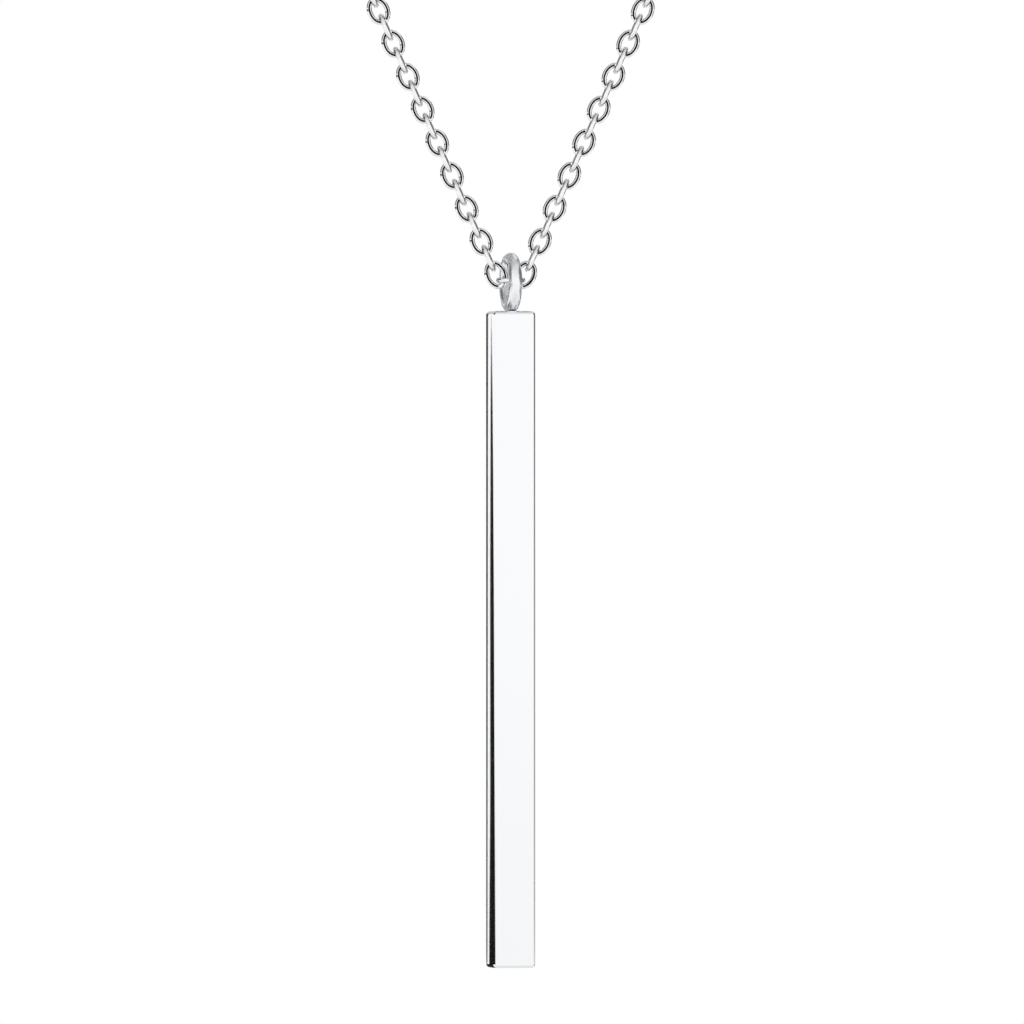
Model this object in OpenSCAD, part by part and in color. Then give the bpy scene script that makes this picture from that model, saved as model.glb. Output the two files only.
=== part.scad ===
// Bar pendant on a fine cable chain, a whole necklace kept in the form it has when worn.
// Millimetres. +Z is up and the front faces -Y. The origin is in the middle of the clasp's
// line at the nape, the place from which the necklace hangs.

/* [Bar] */
// Length of the bar
bar_len = 40; // [25:0.5:60]
// Side of the bar's square section
bar_side = 2.6; // [1.8:0.1:5]
// Radius of the bar's rounded edges
bar_edge_r = 0.25; // [0.1:0.05:0.6]
// Turn of the bar and its ring about the vertical
bar_turn = 12; // [0:1:30]

/* [Bail ring] */
// Outer diameter of the ring on top of the bar
bail_od = 3.66; // [3.4:0.02:5]
// Wire of that ring
bail_wire = 0.82; // [0.5:0.02:0.9]
// Depth to which the ring is soldered into the bar
bail_seat = 0.11; // [0.05:0.01:0.2]
// Clearance between the ring and the links beside it
bail_play = 0.08; // [0.06:0.01:0.2]

/* [Chain] */
// Wire of the links
link_wire = 0.32; // [0.24:0.01:0.34]
// Outer width of a link
link_w = 1.38; // [1.3:0.02:1.7]
// Distance from one link to the next
link_pitch = 1.1; // [1.05:0.05:1.6]
// Clearance between two hooked links
link_play = 0.06; // [0.05:0.01:0.2]
// Links on each side between the bottom link and the clasp, an odd number
links_side = 201; // [161:2:241]
// Links of each side that are shaped singly; the rest is a tube
front_links = 30; // [18:1:40]
// Lean of each strand from the vertical
strand_angle = 24; // [18:0.5:30]
// Turn of the links about their strand
link_roll = 3; // [0:1:10]

/* [Way round the neck] */
// Height over which the strands hang straight down in front
front_rise = 45; // [40:1:60]
// Radius of the bend from the chest to the shoulders
shoulder_r = 40; // [25:1:60]
// Angle through which the loop leans back over the shoulders
shoulder_angle = 65; // [45:1:75]

/* [Clasp] */
// Outer diameter of the clasp's ring
clasp_od = 5.5; // [4.5:0.1:7]
// Thickness of the clasp's ring
clasp_wire = 1.2; // [0.8:0.05:1.4]
// Outer diameter of the lug on the clasp
lug_od = 1.9; // [1.7:0.05:2.4]
// Wire of the lug
lug_wire = 0.45; // [0.3:0.05:0.5]
// Depth to which the lug is soldered into the clasp
lug_seat = 0.25; // [0.15:0.05:0.4]
// Outer diameter of the end ring that the clasp closes on
end_ring_od = 3.45; // [3.2:0.05:4.5]
// Wire of the end ring
end_ring_wire = 0.55; // [0.4:0.05:0.7]

/* [Hidden] */
$fn = 48;
bar_colour = "gainsboro";
chain_colour = "silver";
clasp_colour = "lightsteelblue";

// A link: two straight sides closed by half rings.
link_end_r = (link_w - link_wire) / 2;
link_in_len = link_pitch + link_play;
link_side_len = link_in_len + link_wire - 2 * link_end_r;
hook_x = (link_in_len + link_wire) / 2;
first_link_s = link_pitch - hook_x;

// The ring rests in the notch between the first link of each strand, clear of the bottom link.
bail_mid_r = (bail_od - bail_wire) / 2;
bail_wire_half = bail_wire / 2 / cos(bar_turn);
notch_h = (link_w / 2 + bail_wire_half + bail_play - hook_x * cos(strand_angle)) / sin(strand_angle);
bottom_link_h = (link_wire + bail_wire) / 2 + bail_play;
bail_z = max(notch_h, bottom_link_h) - bail_mid_r;

// The clasp closes on the end ring, and each last link hooks its lug or that ring.
clasp_mid_r = (clasp_od - clasp_wire) / 2;
lug_mid_r = (lug_od - lug_wire) / 2;
end_ring_mid_r = (end_ring_od - end_ring_wire) / 2;
link_reach = hook_x - link_play - link_wire / 2;
end_ring_dx = clasp_mid_r - clasp_wire / 2 - link_play - end_ring_wire / 2 + end_ring_mid_r;
lug_dx = (clasp_od + lug_od) / 2 - lug_seat;
right_reach = end_ring_dx + end_ring_mid_r - end_ring_wire / 2 + link_reach;
left_reach = lug_dx + lug_mid_r - lug_wire / 2 + link_reach;
clasp_reach = (right_reach + left_reach) / 2;
clasp_x = (left_reach - right_reach) / 2;

// The loop lies on a sheet: two straight strands run tangent into a round collar. The sheet
// hangs straight in front and bends back over the shoulders, which keeps every length.
strand_len = links_side * link_pitch - hook_x + clasp_reach;
collar_turn = 90 + strand_angle;
collar_r = (strand_len + hook_x / sin(strand_angle)) / (cot(strand_angle) + arc(1, collar_turn));
tangent_s = collar_r * cot(strand_angle) - hook_x / sin(strand_angle);
collar_h = (collar_r - hook_x * cos(strand_angle)) / sin(strand_angle);
shoulder_h = front_rise + arc(shoulder_r, shoulder_angle);
nape_h = collar_h + collar_r * cos(turned(clasp_reach, collar_r));
nape = on_body([0, nape_h]);

// The tube stands for the finest links, from the last single link to the rings at the nape.
tube_d = link_w - link_wire;
tube_sides = 8;
tube_rings = 39;
tube_start = link_s(front_links) + hook_x + link_wire / 2 + link_play;
nape_gap = max(right_reach, left_reach) - link_reach + max(end_ring_wire, lug_wire) + link_play;
tube_end = strand_len - nape_gap - abs(clasp_x);

function cot(a) = cos(a) / sin(a);
function arc(r, a) = r * a * PI / 180;
function turned(s, r) = s / r * 180 / PI;

// Place along a strand of its link number k, counted from the bottom link
function link_s(k) = first_link_s + (k - 1) * link_pitch;

// Direction of the right strand on the flat sheet, as an angle from the sheet's upward axis
function heading(s) = s < tangent_s ? strand_angle : strand_angle - turned(s - tangent_s, collar_r);

// Point of the right strand on the flat sheet: sideways and up from the bottom link
function on_sheet(s) =
    s < tangent_s
    ? [hook_x + s * sin(strand_angle), s * cos(strand_angle)]
    : [collar_r * cos(heading(s)), collar_h - collar_r * sin(heading(s))];

// Lean of the sheet at a height on it
function lean(h) = min(max(turned(h - front_rise, shoulder_r), 0), shoulder_angle);

// Point of the bent sheet, from the bottom link
function on_body(p) =
    let (a = lean(p[1]), past = max(p[1] - shoulder_h, 0))
    [
        p[0],
        shoulder_r * (1 - cos(a)) + past * sin(a),
        min(p[1], front_rise) + shoulder_r * sin(a) + past * cos(a)
    ];

// Point of a tube's ring at place s and angle a round it
function tube_point(s, a) =
    let (
        p = on_sheet(s),
        across = cos(a) * tube_d / 2,
        out = sin(a) * tube_d / 2,
        l = lean(p[1]),
        up = -across * sin(heading(s))
    )
    on_body(p) + [across * cos(heading(s)), up * sin(l) - out * cos(l), up * cos(l) + out * sin(l)];

module wire_ring(od, wire) {
    rotate_extrude()
        translate([(od - wire) / 2, 0])
            circle(d = wire);
}

module rounded_plate(size, r) {
    square([size[0] - 2 * r, size[1]], center = true);
    square([size[0], size[1] - 2 * r], center = true);
    for (x = [-1, 1], y = [-1, 1])
        translate([x * (size[0] / 2 - r), y * (size[1] / 2 - r)])
            circle(r = r);
}

// A square bar with all its edges rounded, its top face at z = 0
module rounded_bar() {
    translate([0, 0, -bar_len / 2])
        intersection() {
            linear_extrude(bar_len, center = true)
                rounded_plate([bar_side, bar_side], bar_edge_r);
            rotate([90, 0, 0])
                linear_extrude(bar_side, center = true)
                    rounded_plate([bar_side, bar_len], bar_edge_r);
            rotate([90, 0, 90])
                linear_extrude(bar_side, center = true)
                    rounded_plate([bar_side, bar_len], bar_edge_r);
        }
}

module half_ring() {
    rotate([90, 0, 0])
        rotate_extrude(angle = 180)
            translate([link_end_r, 0])
                circle(d = link_wire);
}

// One oval link in the XZ plane, its length along Z
module link() {
    for (m = [0, 1])
        mirror([0, 0, m])
            translate([0, 0, link_side_len / 2])
                half_ring();
    for (x = [-1, 1])
        translate([x * link_end_r, 0, 0])
            cylinder(d = link_wire, h = link_side_len, center = true);
}

// Puts a child that stands along Z on the right strand at place s
module along_strand(s) {
    p = on_sheet(s);
    translate(on_body(p))
        rotate([-lean(p[1]), 0, 0])
            rotate([0, heading(s), 0])
                children();
}

module from_nape() {
    translate(-nape)
        children();
}

// Puts a child at the nape, on the sheet
module at_nape() {
    rotate([-lean(nape_h), 0, 0])
        children();
}

module bar_pendant() {
    color(bar_colour)
        from_nape()
            translate([0, 0, bail_z])
                rotate([0, 0, bar_turn])
                    union() {
                        rotate([0, 90, 0])
                            wire_ring(bail_od, bail_wire);
                        translate([0, 0, bail_seat - bail_od / 2])
                            rounded_bar();
                    }
}

module chain_links() {
    color(chain_colour)
        from_nape() {
            rotate([0, 90, 0])
                rotate([0, 0, 90])
                    link();
            for (m = [0, 1], k = [1 : front_links])
                mirror([m, 0, 0])
                    along_strand(link_s(k))
                        rotate([0, 0, link_roll + (k % 2 == 0 ? 90 : 0)])
                            link();
        }
}

// One side of the tube, swept along the right strand
module back_tube() {
    step = (tube_end - tube_start) / (tube_rings - 1);
    points = [
        for (i = [0 : tube_rings - 1], j = [0 : tube_sides - 1])
            tube_point(tube_start + i * step, j * 360 / tube_sides)
    ];
    walls = [
        for (i = [0 : tube_rings - 2], j = [0 : tube_sides - 1])
            let (a = i * tube_sides, b = a + tube_sides, next = (j + 1) % tube_sides)
            each [[a + j, a + next, b + next], [a + j, b + next, b + j]]
    ];
    first_end = [for (j = [tube_sides - 1 : -1 : 0]) j];
    last_end = [for (j = [0 : tube_sides - 1]) (tube_rings - 1) * tube_sides + j];
    polyhedron(points, concat(walls, [first_end, last_end]));
}

module chain_back() {
    color(chain_colour)
        from_nape()
            for (m = [0, 1])
                mirror([m, 0, 0])
                    back_tube();
}

// A plain closed ring with a small lug across its left side
module clasp() {
    color(clasp_colour)
        at_nape()
            union() {
                translate([clasp_x, 0, 0])
                    rotate([90, 0, 0])
                        wire_ring(clasp_od, clasp_wire);
                translate([clasp_x - lug_dx, 0, 0])
                    wire_ring(lug_od, lug_wire);
            }
}

module end_ring() {
    color(clasp_colour)
        at_nape()
            translate([clasp_x + end_ring_dx, 0, 0])
                wire_ring(end_ring_od, end_ring_wire);
}

bar_pendant();
chain_links();
chain_back();
clasp();
end_ring();
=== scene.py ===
"""Bar pendant necklace: the polished metal, its chain and the studio that it hangs in."""
import logging
import math
from dataclasses import dataclass, field
from enum import Enum
from itertools import product
from typing import Iterable, Iterator

import bpy
from mathutils import Matrix, Vector


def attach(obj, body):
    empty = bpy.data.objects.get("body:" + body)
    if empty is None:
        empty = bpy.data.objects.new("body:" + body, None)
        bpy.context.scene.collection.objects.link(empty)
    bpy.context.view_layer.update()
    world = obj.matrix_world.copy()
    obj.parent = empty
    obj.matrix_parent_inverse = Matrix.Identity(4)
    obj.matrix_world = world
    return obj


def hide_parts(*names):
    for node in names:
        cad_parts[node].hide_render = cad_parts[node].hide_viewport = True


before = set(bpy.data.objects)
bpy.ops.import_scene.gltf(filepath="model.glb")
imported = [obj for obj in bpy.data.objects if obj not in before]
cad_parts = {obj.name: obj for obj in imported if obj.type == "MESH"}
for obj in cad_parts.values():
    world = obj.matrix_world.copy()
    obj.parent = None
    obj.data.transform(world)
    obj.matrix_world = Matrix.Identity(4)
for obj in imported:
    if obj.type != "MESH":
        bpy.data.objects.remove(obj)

MM = 0.001
log = logging.getLogger("necklace")


class Facing(Enum):
    """How a link is turned about its strand, in degrees."""

    FLAT = 0.0
    EDGE = 90.0


class Side(Enum):
    """The two strands, as the sign of their X."""

    LEFT = -1.0
    RIGHT = 1.0


def activate(obj: bpy.types.Object) -> None:
    """Deselects everything and makes one object selected and active.

    Args:
        obj: The object to work on.
    """
    bpy.ops.object.select_all(action="DESELECT")
    obj.select_set(True)
    bpy.context.view_layer.objects.active = obj


def bake_place(obj: bpy.types.Object, place: Matrix | None = None) -> None:
    """Moves an object's place into its mesh and leaves the object at the origin.

    Args:
        obj: The object.
        place: Where it goes, or None for where it is.
    """
    if place is not None:
        obj.matrix_world = place @ obj.matrix_world
    activate(obj)
    bpy.ops.object.transform_apply(location=True, rotation=True, scale=True)


def apply_modifiers(obj: bpy.types.Object) -> None:
    """Applies all modifiers of an object, in their order.

    Args:
        obj: The mesh object.
    """
    activate(obj)
    for modifier in list(obj.modifiers):
        bpy.ops.object.modifier_apply(modifier=modifier.name)


def join(name: str, parts: Iterable[bpy.types.Object]) -> bpy.types.Object:
    """Joins mesh objects into one.

    Args:
        name: The new piece's name.
        parts: The objects, each with a mesh of its own.

    Returns:
        The joined object.
    """
    parts = list(parts)
    activate(parts[0])
    for part in parts:
        part.select_set(True)
    bpy.ops.object.join()
    whole = bpy.context.view_layer.objects.active
    whole.name = whole.data.name = name
    return whole


def repeat(name: str, pattern: bpy.types.Object, places: Iterable[Matrix]) -> bpy.types.Object:
    """Copies a pattern to each place, joins the copies and removes the pattern.

    Args:
        name: The new piece's name.
        pattern: The object to copy, at the origin.
        places: Where the copies go.

    Returns:
        The joined copies.
    """
    copies = []
    for place in places:
        copy = pattern.copy()
        copy.data = pattern.data.copy()
        copy.data.transform(place)
        bpy.context.collection.objects.link(copy)
        copies.append(copy)
    bpy.data.objects.remove(pattern)
    return join(name, copies)


def weld(piece: bpy.types.Object, tool: bpy.types.Object) -> None:
    """Unites a tool object with a piece and removes the tool.

    Args:
        piece: The mesh object that stays.
        tool: The closed mesh object that becomes part of it.
    """
    union = piece.modifiers.new("weld", "BOOLEAN")
    union.operation = "UNION"
    union.solver = "EXACT"
    union.object = tool
    apply_modifiers(piece)
    bpy.data.objects.remove(tool)


def matt_paint(name: str, grey: float) -> bpy.types.Material:
    """Mixes a matt grey paint without any gloss.

    Args:
        name: The material's name.
        grey: Its shade, from 0 for black to 1 for white.

    Returns:
        The material.
    """
    paint = bpy.data.materials.new(name)
    paint.use_nodes = True
    shader = paint.node_tree.nodes["Principled BSDF"]
    shader.inputs["Base Color"].default_value = (grey, grey, grey, 1.0)
    shader.inputs["Roughness"].default_value = 1.0
    shader.inputs["Specular IOR Level"].default_value = 0.0
    return paint


def show_in_reflections_only(card: bpy.types.Object) -> None:
    """Hides a studio card from everything but the metal's reflections.

    Args:
        card: The card.
    """
    card.visible_camera = False
    card.visible_shadow = False
    card.visible_diffuse = False


@dataclass(frozen=True)
class SilverFinish:
    """Polished silver with the faint haze and hairlines of a buffed surface.

    All lengths are in metres. The roughness runs between two values with the haze, and grain is
    the hairlines' stretch along X, Y and Z. Satin is a roughness that is added above two heights,
    which are the start and the end of its rise. The tint darkens the colour in the haze's dips.
    """

    slot: str
    colour: tuple[float, float, float]
    roughness: tuple[float, float]
    grain: tuple[float, float, float]
    haze_size: float
    hairline_depth: float
    satin: float = 0.0
    satin_above: tuple[float, float] = (0.0, 1 * MM)
    tint: float = 0.985
    haze_detail: float = 4.0
    hairline_detail: float = 6.0
    hairline_strength: float = 0.4

    @property
    def name(self) -> str:
        """The material's name."""
        return self.slot + "_polish"

    def material(self) -> bpy.types.Material:
        """Builds the node material.

        Returns:
            The material, with its patterns on Object coordinates.
        """
        metal = bpy.data.materials.new(self.name)
        metal.use_nodes = True
        nodes, links = metal.node_tree.nodes, metal.node_tree.links
        shader = nodes["Principled BSDF"]
        shader.inputs["Metallic"].default_value = 1.0
        place = nodes.new("ShaderNodeTexCoord").outputs["Object"]

        haze = nodes.new("ShaderNodeTexNoise")
        haze.inputs["Scale"].default_value = 1.0 / self.haze_size
        haze.inputs["Detail"].default_value = self.haze_detail
        links.new(place, haze.inputs["Vector"])

        dullness = nodes.new("ShaderNodeMapRange")
        dullness.inputs["To Min"].default_value = self.roughness[0]
        dullness.inputs["To Max"].default_value = self.roughness[1]
        links.new(haze.outputs["Fac"], dullness.inputs["Value"])
        axes = nodes.new("ShaderNodeSeparateXYZ")
        links.new(place, axes.inputs["Vector"])
        satin = nodes.new("ShaderNodeMapRange")
        satin.inputs["From Min"].default_value = self.satin_above[0]
        satin.inputs["From Max"].default_value = self.satin_above[1]
        satin.inputs["To Max"].default_value = self.satin
        links.new(axes.outputs["Z"], satin.inputs["Value"])
        roughness = nodes.new("ShaderNodeMath")
        links.new(dullness.outputs["Result"], roughness.inputs[0])
        links.new(satin.outputs["Result"], roughness.inputs[1])
        links.new(roughness.outputs["Value"], shader.inputs["Roughness"])

        tint = nodes.new("ShaderNodeValToRGB")
        tint.color_ramp.elements[0].color = (*(self.tint * c for c in self.colour), 1.0)
        tint.color_ramp.elements[1].color = (*self.colour, 1.0)
        links.new(haze.outputs["Fac"], tint.inputs["Fac"])
        links.new(tint.outputs["Color"], shader.inputs["Base Color"])

        stretch = nodes.new("ShaderNodeMapping")
        stretch.inputs["Scale"].default_value = self.grain
        links.new(place, stretch.inputs["Vector"])
        hairlines = nodes.new("ShaderNodeTexNoise")
        hairlines.inputs["Scale"].default_value = 1.0
        hairlines.inputs["Detail"].default_value = self.hairline_detail
        links.new(stretch.outputs["Vector"], hairlines.inputs["Vector"])
        relief = nodes.new("ShaderNodeBump")
        relief.inputs["Strength"].default_value = self.hairline_strength
        relief.inputs["Distance"].default_value = self.hairline_depth
        links.new(hairlines.outputs["Fac"], relief.inputs["Height"])
        links.new(relief.outputs["Normal"], shader.inputs["Normal"])
        return metal


# The soldered ring, above the bar's top, is left duller than the bar.
BAR_FINISH = SilverFinish(
    slot="bar_silver",
    colour=(0.942, 0.955, 0.975),
    roughness=(0.035, 0.075),
    grain=(9000.0, 9000.0, 900.0),
    haze_size=6 * MM,
    hairline_depth=0.00004 * MM,
    satin=0.2,
    satin_above=(-122.5 * MM, -122.1 * MM),
)
CHAIN_FINISH = SilverFinish(
    slot="chain_silver",
    colour=(0.94, 0.945, 0.955),
    roughness=(0.04, 0.09),
    grain=(4000.0, 4000.0, 4000.0),
    haze_size=3 * MM,
    hairline_depth=0.0001 * MM,
)
CLASP_FINISH = SilverFinish(
    slot="clasp_silver",
    colour=(0.93, 0.935, 0.945),
    roughness=(0.05, 0.11),
    grain=(4000.0, 4000.0, 4000.0),
    haze_size=3 * MM,
    hairline_depth=0.0001 * MM,
)


def dress(piece: bpy.types.Object, finish: SilverFinish, body: str, *nodes: str) -> None:
    """Gives a finished piece its metal, its body and the nodes that it stands for.

    Args:
        piece: The mesh object, at the origin.
        finish: Its finish, which names the record's slot.
        body: The body that it rides on.
        nodes: The CAD nodes that it replaces.
    """
    piece.data.materials.clear()
    piece.data.materials.append(bpy.data.materials.get(finish.name) or finish.material())
    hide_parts(*nodes)
    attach(piece, body)


@dataclass
class OvalLink:
    """One link of the cable chain, an oval of round wire."""

    wire: float = 0.32 * MM
    width: float = 1.38 * MM
    pitch: float = 1.1 * MM
    play: float = 0.06 * MM

    @property
    def end_radius(self) -> float:
        """Radius of the wire's middle line round each end."""
        return (self.width - self.wire) / 2

    @property
    def hook(self) -> float:
        """Distance from the link's middle to the middle of its end wire."""
        return (self.pitch + self.play + self.wire) / 2

    def beside(self, angle: float, out: float) -> Vector:
        """Point beside the wire's middle line, in the link's plane.

        Args:
            angle: Angle round the oval, from its right side.
            out: Distance outward from the middle line.

        Returns:
            The point.
        """
        x, z = math.cos(angle), math.sin(angle)
        across = Vector((x / self.end_radius, 0, z / self.hook)).normalized()
        return Vector((x * self.end_radius, 0, z * self.hook)) + across * out

    def model(self, name: str, steps: int, wire_steps: int) -> bpy.types.Object:
        """Models the link in the XZ plane, its length along Z.

        Args:
            name: The object's name.
            steps: Segments round the link.
            wire_steps: Segments round its wire.

        Returns:
            The link, at the origin.
        """
        bpy.ops.object.select_all(action="DESELECT")
        bpy.ops.mesh.primitive_torus_add(
            major_radius=self.end_radius,
            minor_radius=self.wire / 2,
            major_segments=steps,
            minor_segments=wire_steps,
        )
        link = bpy.context.active_object
        link.name = link.data.name = name
        bake_place(link, Matrix.Rotation(math.pi / 2, 4, "X"))
        self.stretch(link)
        bpy.ops.object.shade_smooth()
        return link

    def stretch(self, link: bpy.types.Object) -> None:
        """Draws the round ring out to the oval and keeps its wire round.

        Args:
            link: The ring, in the XZ plane.
        """
        for vertex in link.data.vertices:
            angle = math.atan2(vertex.co.z, vertex.co.x)
            out = math.hypot(vertex.co.x, vertex.co.z) - self.end_radius
            vertex.co = self.beside(angle, out) + Vector((0, vertex.co.y, 0))


@dataclass
class ClaspSizes:
    """The plain ring clasp and the ring that it closes on."""

    outer: float = 5.5 * MM
    wire: float = 1.2 * MM
    lug_outer: float = 1.9 * MM
    lug_wire: float = 0.45 * MM
    lug_seat: float = 0.25 * MM
    end_outer: float = 3.45 * MM
    end_wire: float = 0.55 * MM

    def end_ring_offset(self, play: float) -> float:
        """Distance from the clasp's middle to the end ring's, in reach of the clasp's wire."""
        return self.outer / 2 - self.wire - play - self.end_wire + self.end_outer / 2

    @property
    def lug_offset(self) -> float:
        """Distance from the clasp's middle to the lug's."""
        return (self.outer + self.lug_outer) / 2 - self.lug_seat

    def right_reach(self, link: OvalLink) -> float:
        """Distance from the clasp's middle to the right strand's last link."""
        inner = self.end_outer / 2 - self.end_wire
        return self.end_ring_offset(link.play) + inner + link.hook - link.play - link.wire / 2

    def left_reach(self, link: OvalLink) -> float:
        """Distance from the clasp's middle to the left strand's last link."""
        inner = self.lug_outer / 2 - self.lug_wire
        return self.lug_offset + inner + link.hook - link.play - link.wire / 2


@dataclass
class ChainRoute:
    """The way of the chain: two straight strands that run into a collar, on a sheet that hangs
    straight in front and bends back over the shoulders."""

    link: OvalLink = field(default_factory=OvalLink)
    clasp: ClaspSizes = field(default_factory=ClaspSizes)
    links_side: int = 201
    front_links: int = 30
    strand_angle: float = math.radians(24)
    link_roll: float = math.radians(3)
    front_rise: float = 45 * MM
    shoulder_radius: float = 40 * MM
    shoulder_angle: float = math.radians(65)
    reach: float = field(init=False)
    clasp_x: float = field(init=False)
    collar_radius: float = field(init=False)
    straight: float = field(init=False)
    collar_height: float = field(init=False)
    nape_height: float = field(init=False)
    nape: Vector = field(init=False)

    def __post_init__(self) -> None:
        """Works out the collar and the nape from the chain's length."""
        lean = self.strand_angle
        self.reach = (self.clasp.right_reach(self.link) + self.clasp.left_reach(self.link)) / 2
        self.clasp_x = (self.clasp.left_reach(self.link) - self.clasp.right_reach(self.link)) / 2
        hook = self.link.hook
        strand = self.links_side * self.link.pitch - hook + self.reach
        turn = math.pi / 2 + lean
        self.collar_radius = (strand + hook / math.sin(lean)) / (1 / math.tan(lean) + turn)
        self.straight = self.collar_radius / math.tan(lean) - hook / math.sin(lean)
        self.collar_height = (self.collar_radius - hook * math.cos(lean)) / math.sin(lean)
        rise = self.collar_radius * math.cos(self.reach / self.collar_radius)
        self.nape_height = self.collar_height + rise
        # The nape's own place is measured from the bottom link, and all others from the nape.
        self.nape = Vector()
        self.nape = self.on_body(0.0, self.nape_height)

    def heading(self, s: float) -> float:
        """Angle of the strand from the sheet's upward axis, at length s from its first hook."""
        return self.strand_angle - max(s - self.straight, 0.0) / self.collar_radius

    def on_sheet(self, s: float) -> tuple[float, float]:
        """Place of the right strand on the flat sheet.

        Args:
            s: Length along the strand from the bottom link's hook.

        Returns:
            The distance sideways and the height.
        """
        if s < self.straight:
            lean = self.strand_angle
            return self.link.hook + s * math.sin(lean), s * math.cos(lean)
        turned = self.heading(s)
        return (
            self.collar_radius * math.cos(turned),
            self.collar_height - self.collar_radius * math.sin(turned),
        )

    def lean(self, height: float) -> float:
        """Lean of the sheet at a height on it."""
        return min(max((height - self.front_rise) / self.shoulder_radius, 0.0), self.shoulder_angle)

    def on_body(self, x: float, height: float) -> Vector:
        """Turns a place on the flat sheet into a point of the row's frame.

        Args:
            x: Distance sideways.
            height: Height on the sheet above the bottom link.

        Returns:
            The point, from the nape.
        """
        lean = self.lean(height)
        bend = self.front_rise + self.shoulder_radius * self.shoulder_angle
        past = max(height - bend, 0.0)
        back = self.shoulder_radius * (1 - math.cos(lean)) + past * math.sin(lean)
        up = self.shoulder_radius * math.sin(lean) + past * math.cos(lean)
        return Vector((x, back, min(height, self.front_rise) + up)) - self.nape

    def place(self, number: int, side: Side) -> Matrix:
        """Place of one link.

        Args:
            number: The link's number on its strand, counted from the bottom link.
            side: The strand.

        Returns:
            The matrix that takes a link from the origin to its place.
        """
        s = self.link.pitch - self.link.hook + (number - 1) * self.link.pitch
        x, height = self.on_sheet(s)
        facing = Facing.FLAT if number % 2 else Facing.EDGE
        sign = side.value
        return (
            Matrix.Translation(self.on_body(sign * x, height))
            @ Matrix.Rotation(-self.lean(height), 4, "X")
            @ Matrix.Rotation(sign * self.heading(s), 4, "Y")
            @ Matrix.Rotation(sign * (self.link_roll + math.radians(facing.value)), 4, "Z")
        )

    def bottom(self) -> Matrix:
        """Place of the bottom link, which lies flat and runs through the bail ring."""
        across = Matrix.Rotation(math.pi / 2, 4, "Y") @ Matrix.Rotation(math.pi / 2, 4, "Z")
        return Matrix.Translation(-self.nape) @ across

    def places(self, first: int, last: int) -> Iterator[Matrix]:
        """Places of the links of both strands, from one number to another.

        Args:
            first: The first link's number.
            last: The last link's number.

        Yields:
            Each link's place, strand by strand.
        """
        for side in Side:
            for number in range(first, last + 1):
                yield self.place(number, side)


@dataclass
class CableChain:
    """The whole chain, in the front links that the picture shows and the rest of the loop."""

    route: ChainRoute
    front_steps: tuple[int, int] = (28, 14)
    back_steps: tuple[int, int] = (16, 8)

    def build(self) -> Iterator[bpy.types.Object]:
        """Builds both stretches.

        Yields:
            Each stretch, dressed.
        """
        route = self.route
        front = [route.bottom(), *route.places(1, route.front_links)]
        back = list(route.places(route.front_links + 1, route.links_side))
        yield self.stretch("front_chain", front, self.front_steps, "chain_links")
        yield self.stretch("neck_chain", back, self.back_steps, "chain_back")

    def stretch(
        self,
        name: str,
        places: list[Matrix],
        steps: tuple[int, int],
        node: str,
    ) -> bpy.types.Object:
        """Copies one link to each place and joins the copies.

        Args:
            name: The piece's name.
            places: Where the links go.
            steps: Segments round a link and round its wire.
            node: The CAD node that it replaces.

        Returns:
            The joined stretch.
        """
        chain = repeat(name, self.route.link.model(name + "_link", *steps), places)
        dress(chain, CHAIN_FINISH, "chain", node)
        return chain


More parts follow.
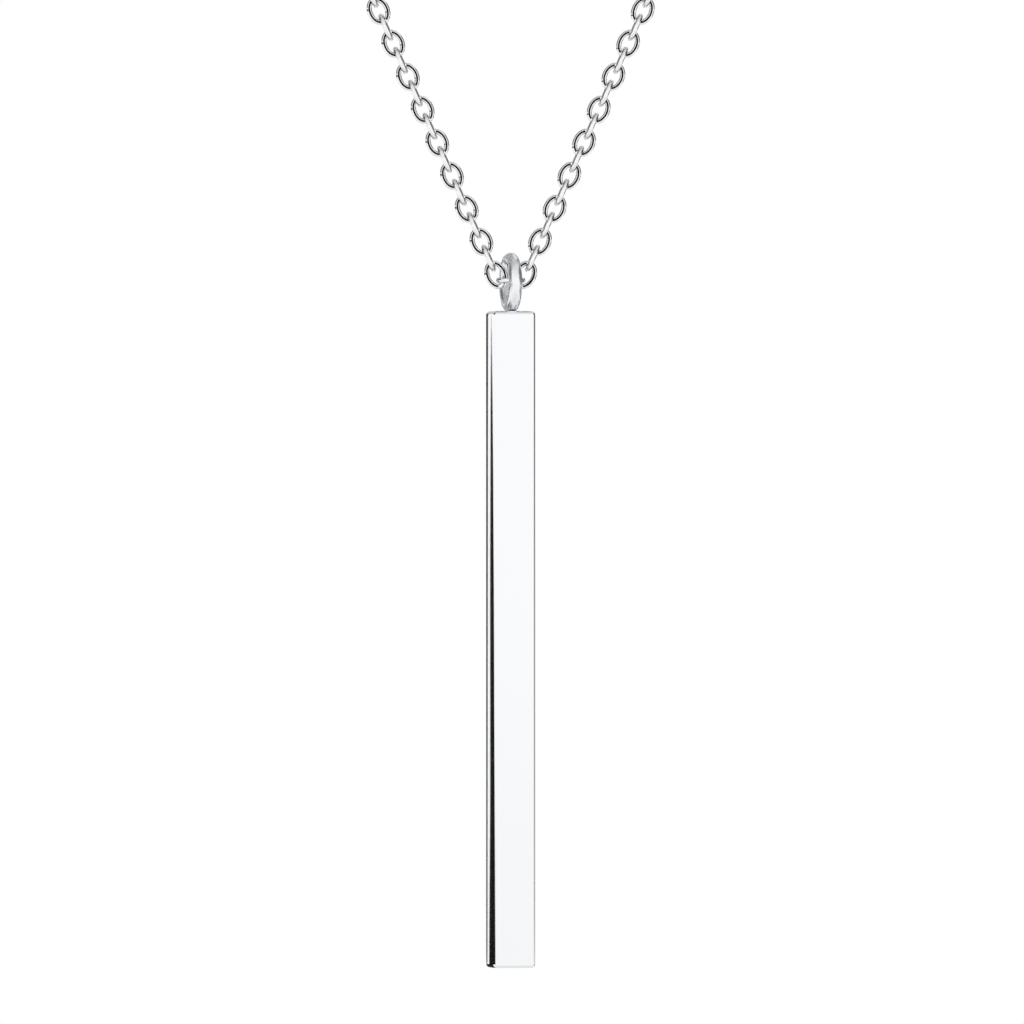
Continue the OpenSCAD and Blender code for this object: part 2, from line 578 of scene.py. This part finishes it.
@dataclass
class BarPendant:
    """The square bar with its soldered ring."""

    route: ChainRoute
    length: float = 40 * MM
    side: float = 2.6 * MM
    edge_radius: float = 0.25 * MM
    edge_steps: int = 8
    crown: float = 0.022 * MM
    strips: int = 12
    turn: float = math.radians(12)
    ring_outer: float = 3.66 * MM
    ring_wire: float = 0.82 * MM
    ring_seat: float = 0.11 * MM
    ring_play: float = 0.08 * MM
    ring_steps: tuple[int, int] = (128, 48)
    smooth_below: float = math.radians(35)

    @property
    def ring_place(self) -> Vector:
        """Middle of the ring, which rests in the notch between the two lowest upright links.

        Returns:
            The point, from the nape.
        """
        link, lean = self.route.link, self.route.strand_angle
        half_wire = self.ring_wire / 2 / math.cos(self.turn)
        across = link.width / 2 + half_wire + self.ring_play - link.hook * math.cos(lean)
        notch = across / math.sin(lean)
        return Vector((0, 0, notch - (self.ring_outer - self.ring_wire) / 2)) - self.route.nape

    def bar(self) -> bpy.types.Object:
        """Models the bar with its top face at Z = 0, its faces slightly crowned by buffing.

        Returns:
            The bar.
        """
        bpy.ops.object.select_all(action="DESELECT")
        bpy.ops.mesh.primitive_cube_add(size=1.0)
        bar = bpy.context.active_object
        bar.name = bar.data.name = "pendant"
        bar.scale = (self.side, self.side, self.length)
        bake_place(bar)
        bpy.ops.object.mode_set(mode="EDIT")
        bpy.ops.mesh.select_all(action="SELECT")
        bpy.ops.mesh.bevel(
            offset=self.edge_radius, segments=self.edge_steps, profile=0.5, affect="EDGES"
        )
        bpy.ops.object.mode_set(mode="OBJECT")
        self.crown_faces(bar)
        bake_place(bar, Matrix.Translation((0, 0, -self.length / 2)))
        return bar

    def crown_faces(self, bar: bpy.types.Object) -> None:
        """Cuts the bar into strips and swells its long faces by the crown.

        Args:
            bar: The bar, centred on the origin.
        """
        flat = self.side - 2 * self.edge_radius
        activate(bar)
        bpy.ops.object.mode_set(mode="EDIT")
        for axis in range(2):
            for number in range(1, self.strips):
                at = [0.0, 0.0, 0.0]
                normal = [0.0, 0.0, 0.0]
                at[axis] = flat * (number / self.strips - 0.5)
                normal[axis] = 1.0
                bpy.ops.mesh.select_all(action="SELECT")
                bpy.ops.mesh.bisect(plane_co=at, plane_no=normal)
        bpy.ops.object.mode_set(mode="OBJECT")
        half = flat / 2
        for vertex in bar.data.vertices:
            for axis in range(2):
                along, out = vertex.co[1 - axis], vertex.co[axis]
                if abs(along) <= half < abs(out):
                    swell = self.crown * (1 - (along / half) ** 2)
                    vertex.co[axis] = out + math.copysign(swell, out)

    def ring(self) -> bpy.types.Object:
        """Models the ring round the X axis.

        Returns:
            The ring, at the origin.
        """
        bpy.ops.object.select_all(action="DESELECT")
        bpy.ops.mesh.primitive_torus_add(
            major_radius=(self.ring_outer - self.ring_wire) / 2,
            minor_radius=self.ring_wire / 2,
            major_segments=self.ring_steps[0],
            minor_segments=self.ring_steps[1],
        )
        ring = bpy.context.active_object
        bake_place(ring, Matrix.Rotation(math.pi / 2, 4, "Y"))
        return ring

    def build(self) -> bpy.types.Object:
        """Solders the ring into the bar's top and turns both to their place.

        Returns:
            The dressed pendant.
        """
        pendant = self.bar()
        top = Matrix.Translation((0, 0, self.ring_seat - self.ring_outer / 2))
        bake_place(pendant, top)
        weld(pendant, self.ring())
        activate(pendant)
        bpy.ops.object.shade_smooth_by_angle(angle=self.smooth_below)
        smooth = pendant.modifiers.new("smooth", "WEIGHTED_NORMAL")
        smooth.keep_sharp = True
        apply_modifiers(pendant)
        turned = Matrix.Translation(self.ring_place) @ Matrix.Rotation(self.turn, 4, "Z")
        bake_place(pendant, turned)
        dress(pendant, BAR_FINISH, "pendant", "bar_pendant")
        return pendant


@dataclass
class RingClasp:
    """The clasp at the nape and the ring that it closes on."""

    route: ChainRoute
    clasp_steps: tuple[int, int] = (96, 32)
    lug_steps: tuple[int, int] = (48, 20)
    end_steps: tuple[int, int] = (72, 24)

    def torus(self, name: str, outer: float, wire: float, steps: tuple[int, int]) -> bpy.types.Object:
        """Models a ring of wire in the XY plane.

        Args:
            name: The object's name.
            outer: Its outer diameter.
            wire: Its wire's diameter.
            steps: Segments round the ring and round its wire.

        Returns:
            The ring, at the origin.
        """
        bpy.ops.object.select_all(action="DESELECT")
        bpy.ops.mesh.primitive_torus_add(
            major_radius=(outer - wire) / 2,
            minor_radius=wire / 2,
            major_segments=steps[0],
            minor_segments=steps[1],
        )
        ring = bpy.context.active_object
        ring.name = ring.data.name = name
        bpy.ops.object.shade_smooth()
        return ring

    def build(self) -> Iterator[bpy.types.Object]:
        """Builds the clasp with its lug, and the end ring.

        Yields:
            Each piece, dressed.
        """
        route, sizes = self.route, self.route.clasp
        nape = Matrix.Rotation(-route.lean(route.nape_height), 4, "X")
        clasp = self.torus("ring_clasp", sizes.outer, sizes.wire, self.clasp_steps)
        upright = Matrix.Translation((route.clasp_x, 0, 0)) @ Matrix.Rotation(math.pi / 2, 4, "X")
        bake_place(clasp, upright)
        lug = self.torus("clasp_lug", sizes.lug_outer, sizes.lug_wire, self.lug_steps)
        bake_place(lug, Matrix.Translation((route.clasp_x - sizes.lug_offset, 0, 0)))
        weld(clasp, lug)
        bake_place(clasp, nape)
        dress(clasp, CLASP_FINISH, "chain", "clasp")
        yield clasp

        end = self.torus("end_ring_wire", sizes.end_outer, sizes.end_wire, self.end_steps)
        offset = route.clasp_x + sizes.end_ring_offset(route.link.play)
        bake_place(end, nape @ Matrix.Translation((offset, 0, 0)))
        dress(end, CLASP_FINISH, "chain", "end_ring")
        yield end


@dataclass(frozen=True)
class Flag:
    """A curved studio card round the pendant, which only reflections see.

    Each row holds a height from the ring in metres and the two azimuths between which the card
    reaches there, in degrees. Azimuth 0 is behind the pendant and 90 to its right. The card goes
    from its first shade to its second between the two heights of its fade.
    """

    name: str
    shades: tuple[float, float]
    rows: tuple[tuple[float, float, float], ...]
    distance: float = 1.0
    fade: tuple[float, float] = (-0.065, 0.008)
    steps: int = 24

    def build(self, middle: Vector) -> bpy.types.Object:
        """Builds the card.

        Args:
            middle: The point that its heights and azimuths start from.

        Returns:
            The card.
        """
        bpy.ops.object.select_all(action="DESELECT")
        last = len(self.rows) - 1
        bpy.ops.mesh.primitive_grid_add(x_subdivisions=self.steps, y_subdivisions=last, size=1.0)
        card = bpy.context.active_object
        card.name = card.data.name = self.name
        for vertex in card.data.vertices:
            height, near, far = self.rows[round((vertex.co.y + 0.5) * last)]
            azimuth = math.radians(near + (vertex.co.x + 0.5) * (far - near))
            out = Vector((math.sin(azimuth), math.cos(azimuth), 0)) * self.distance
            vertex.co = middle + out + Vector((0, 0, height))
        card.data.materials.append(self.paint(middle.z))
        show_in_reflections_only(card)
        return card

    def paint(self, ring_height: float) -> bpy.types.Material:
        """Mixes the card's matt paint, which fades with the height.

        Args:
            ring_height: The ring's height, from which the fade is measured.

        Returns:
            The material.
        """
        paint = matt_paint(self.name, self.shades[0])
        nodes, links = paint.node_tree.nodes, paint.node_tree.links
        place = nodes.new("ShaderNodeTexCoord").outputs["Object"]
        axes = nodes.new("ShaderNodeSeparateXYZ")
        links.new(place, axes.inputs["Vector"])
        fade = nodes.new("ShaderNodeMapRange")
        fade.inputs["From Min"].default_value = ring_height + self.fade[0]
        fade.inputs["From Max"].default_value = ring_height + self.fade[1]
        fade.inputs["To Min"].default_value, fade.inputs["To Max"].default_value = self.shades
        links.new(axes.outputs["Z"], fade.inputs["Value"])
        links.new(fade.outputs["Result"], nodes["Principled BSDF"].inputs["Base Color"])
        return paint


@dataclass(frozen=True)
class Softbox:
    """A soft square light, with its place from the ring, its side and its power in watts."""

    name: str
    place: tuple[float, float, float]
    side: float = 0.9
    power: float = 2.1

    def build(self, middle: Vector) -> None:
        """Hangs the light, which no reflection shows.

        Args:
            middle: The point that its place starts from and that it faces.
        """
        lamp = bpy.data.lights.new(self.name, "AREA")
        lamp.energy, lamp.size = self.power, self.side
        light = bpy.data.objects.new(self.name, lamp)
        bpy.context.collection.objects.link(light)
        out = Vector(self.place)
        light.location = middle + out
        light.rotation_mode = "QUATERNION"
        light.rotation_quaternion = (-out).to_track_quat("-Z", "Y")
        light.visible_camera = False
        light.visible_glossy = False


@dataclass
class Studio:
    """White surround, dark cards, pale floor, two soft lights and the camera.

    Each level is the surround's brightness at a height, which runs from 0 straight below to 1
    straight above. The back flags draw the dark lines on the bar's outer edges, flag_left the
    strip on its left face and flag_foot_left the strip's foot. The high flags draw the links'
    inner rims, and the side, crown and upper flags grey the ring's top.

    The link cards are bands along the sides of the flat links, as wide as card_band. They start
    card_opening from each end, hang card_distance before the link's middle plane, and stand
    card_shift further inwards.
    """

    pendant: BarPendant
    pixels: int = 1024
    pixels_per_mm: float = 16.42
    ring_pixel: tuple[float, float] = (510.65, 282.8)
    camera_distance: float = 1.2
    camera_clip: tuple[float, float] = (0.01, 20.0)
    sensor: float = 36.0
    levels: tuple[tuple[float, float], ...] = (
        (0.0, 0.75),
        (0.25, 0.92),
        (0.40, 0.965),
        (0.490, 0.935),
        (0.4985, 0.995),
        (0.505, 0.975),
        (0.56, 1.0),
        (0.67, 0.93),
        (0.94, 0.68),
        (1.0, 0.50),
    )
    strength: float = 1.035
    floor_height: float = -0.50
    floor_radius: float = 2.5
    floor_steps: int = 96
    floor_grey: float = 0.9
    floor_roughness: float = 0.9
    flags: tuple[Flag, ...] = (
        Flag(
            "flag_back_left",
            (0.14, 0.02),
            ((-0.065, -3.0, -21.4), (-0.03, -3.0, -21.8), (0.008, -3.0, -22.2), (0.12, -3.0, -22.2)),
        ),
        Flag("flag_back_left_low", (0.14, 0.14), ((-0.45, -3.0, -10.0), (-0.10, -3.0, -10.0))),
        Flag("flag_foot_left", (0.02, 0.02), ((-0.52, -10.0, -28.0), (-0.10, -10.0, -28.0))),
        Flag("flag_back_right", (0.50, 0.17), ((-0.065, 3.0, 98.0), (0.45, 3.0, 98.0))),
        Flag("flag_back_right_low", (0.25, 0.25), ((-0.45, 3.0, 98.0), (-0.13, 3.0, 98.0))),
        Flag("flag_back_left_high", (0.6, 0.6), ((0.12, -3.0, -22.2), (0.3, -3.0, -22.2))),
        Flag("flag_high_left", (0.15, 0.15), ((0.08, -45.0, -110.0), (0.80, -45.0, -110.0))),
        Flag("flag_high_right", (0.15, 0.15), ((0.08, 45.0, 110.0), (0.80, 45.0, 110.0))),
        Flag("flag_side_left", (0.5, 0.5), ((0.02, -32.0, -125.0), (0.078, -32.0, -125.0))),
        Flag(
            "flag_crown_left",
            (0.42, 0.42),
            ((0.12, -22.5, -44.5), (0.31, -22.5, -44.5), (0.32, 3.0, -44.5), (0.81, 3.0, -44.5)),
        ),
        Flag("flag_upper_left", (0.42, 0.42), ((0.82, 3.0, -125.0), (3.0, 3.0, -125.0))),
        Flag(
            "flag_left",
            (0.01, 0.01),
            (
                (-0.14, -23.2, -135.0),
                (-0.075, -23.2, -135.0),
                (-0.068, -23.4, -130.0),
                (-0.057, -24.05, -118.0),
                (-0.046, -24.95, -98.0),
                (-0.035, -24.95, -82.0),
                (-0.024, -24.8, -70.0),
                (-0.013, -25.1, -30.8),
                (-0.004, -25.4, -28.4),
                (0.004, -25.9, -27.3),
                (0.0065, -26.2, -26.9),
                (0.0085, -26.4, -26.6),
            ),
        ),
    )
    carded_links: range = range(1, 202, 2)
    card_band: float = 0.29 * MM
    card_opening: float = math.radians(20)
    card_distance: float = 0.25 * MM
    card_shift: float = 0.032 * MM
    card_steps: int = 16
    card_grey: float = 0.01
    softboxes: tuple[Softbox, ...] = (
        Softbox("softbox_right", (0.7, -0.8, 0.8)),
        Softbox("softbox_left", (-0.8, -0.4, 0.8)),
    )

    def surround(self) -> None:
        """Lights the scene from all round by the levels, with plain white for the camera."""
        world = bpy.data.worlds.new("surround")
        bpy.context.scene.world = world
        world.use_nodes = True
        nodes, links = world.node_tree.nodes, world.node_tree.links
        nodes.clear()
        out = nodes.new("ShaderNodeOutputWorld")
        seen = nodes.new("ShaderNodeBackground")
        seen.inputs["Color"].default_value = (1.0, 1.0, 1.0, 1.0)
        around = nodes.new("ShaderNodeBackground")
        around.inputs["Strength"].default_value = self.strength
        place = nodes.new("ShaderNodeTexCoord")
        axes = nodes.new("ShaderNodeSeparateXYZ")
        links.new(place.outputs["Generated"], axes.inputs["Vector"])
        height = nodes.new("ShaderNodeMapRange")
        height.inputs["From Min"].default_value = -1.0
        links.new(axes.outputs["Z"], height.inputs["Value"])
        shades = nodes.new("ShaderNodeValToRGB")
        ramp = shades.color_ramp
        levels = self.levels
        for element, (position, level) in zip(ramp.elements, (levels[0], levels[-1])):
            element.position, element.color = position, (level, level, level, 1.0)
        for position, level in levels[1:-1]:
            ramp.elements.new(position).color = (level, level, level, 1.0)
        links.new(height.outputs["Result"], shades.inputs["Fac"])
        links.new(shades.outputs["Color"], around.inputs["Color"])
        path = nodes.new("ShaderNodeLightPath")
        mix = nodes.new("ShaderNodeMixShader")
        links.new(path.outputs["Is Camera Ray"], mix.inputs["Fac"])
        links.new(around.outputs["Background"], mix.inputs[1])
        links.new(seen.outputs["Background"], mix.inputs[2])
        links.new(mix.outputs["Shader"], out.inputs["Surface"])

    def link_card(self, flank: Side) -> bpy.types.Object:
        """Cuts the dark card for one side of a flat link, open at the link's two ends.

        Args:
            flank: The side of the link.

        Returns:
            The card, before a link at the origin.
        """
        bpy.ops.object.select_all(action="DESELECT")
        bpy.ops.mesh.primitive_grid_add(x_subdivisions=self.card_steps, y_subdivisions=1, size=1.0)
        card = bpy.context.active_object
        card.name = card.data.name = "link_card"
        for vertex in card.data.vertices:
            angle = 2 * vertex.co.x * (math.pi / 2 - self.card_opening)
            point = self.pendant.route.link.beside(angle, vertex.co.y * self.card_band)
            vertex.co = (flank.value * point.x, -self.card_distance, point.z)
        return card

    def link_cards(self) -> None:
        """Hangs dark cards before the flat links, which draw the black line on their wire."""
        pair = join("link_card", [self.link_card(flank) for flank in Side])
        places = []
        for strand, number in product(Side, self.carded_links):
            inwards = Matrix.Translation((-strand.value * self.card_shift, 0, 0))
            places.append(self.pendant.route.place(number, strand) @ inwards)
        sheet = repeat("link_cards", pair, places)
        sheet.data.materials.append(matt_paint("card_black", self.card_grey))
        show_in_reflections_only(sheet)

    def floor(self) -> None:
        """Lays a round pale floor well below the pendant."""
        bpy.ops.object.select_all(action="DESELECT")
        bpy.ops.mesh.primitive_circle_add(
            vertices=self.floor_steps,
            radius=self.floor_radius,
            fill_type="NGON",
            location=(0, 0, self.floor_height),
        )
        floor = bpy.context.active_object
        floor.name = "floor"
        paper = bpy.data.materials.new("floor_paper")
        paper.use_nodes = True
        shader = paper.node_tree.nodes["Principled BSDF"]
        grey = self.floor_grey
        shader.inputs["Base Color"].default_value = (grey, grey, grey, 1.0)
        shader.inputs["Roughness"].default_value = self.floor_roughness
        floor.data.materials.append(paper)
        floor.visible_glossy = False

    def camera(self) -> None:
        """Sets the long-lens camera that gives the photograph's frame."""
        lens = bpy.data.cameras.new("camera")
        width = self.pixels / self.pixels_per_mm * MM
        lens.sensor_width = self.sensor
        lens.lens = self.sensor * self.camera_distance / width
        lens.clip_start, lens.clip_end = self.camera_clip
        camera = bpy.data.objects.new("camera", lens)
        bpy.context.collection.objects.link(camera)
        middle = self.pixels / 2
        aside = (middle - self.ring_pixel[0]) / self.pixels_per_mm * MM
        down = (middle - self.ring_pixel[1]) / self.pixels_per_mm * MM
        camera.location = self.pendant.ring_place + Vector((aside, -self.camera_distance, -down))
        camera.rotation_euler = (math.pi / 2, 0, 0)
        bpy.context.scene.camera = camera

    def build(self) -> None:
        """Builds the whole studio."""
        bpy.context.scene.view_settings.view_transform = "Standard"
        self.camera()
        self.surround()
        self.floor()
        for flag in self.flags:
            flag.build(self.pendant.ring_place)
        self.link_cards()
        for softbox in self.softboxes:
            softbox.build(self.pendant.ring_place)


def main() -> None:
    """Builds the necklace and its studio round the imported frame."""
    logging.basicConfig(level=logging.INFO, format="%(message)s")
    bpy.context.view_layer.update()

    route = ChainRoute()
    pendant = BarPendant(route)
    Studio(pendant).build()
    made = [pendant.build()]
    made.extend(CableChain(route).build())
    made.extend(RingClasp(route).build())
    for piece in made:
        log.info("%s: %d faces", piece.name, len(piece.data.polygons))


if __name__ == "__main__":
    main()
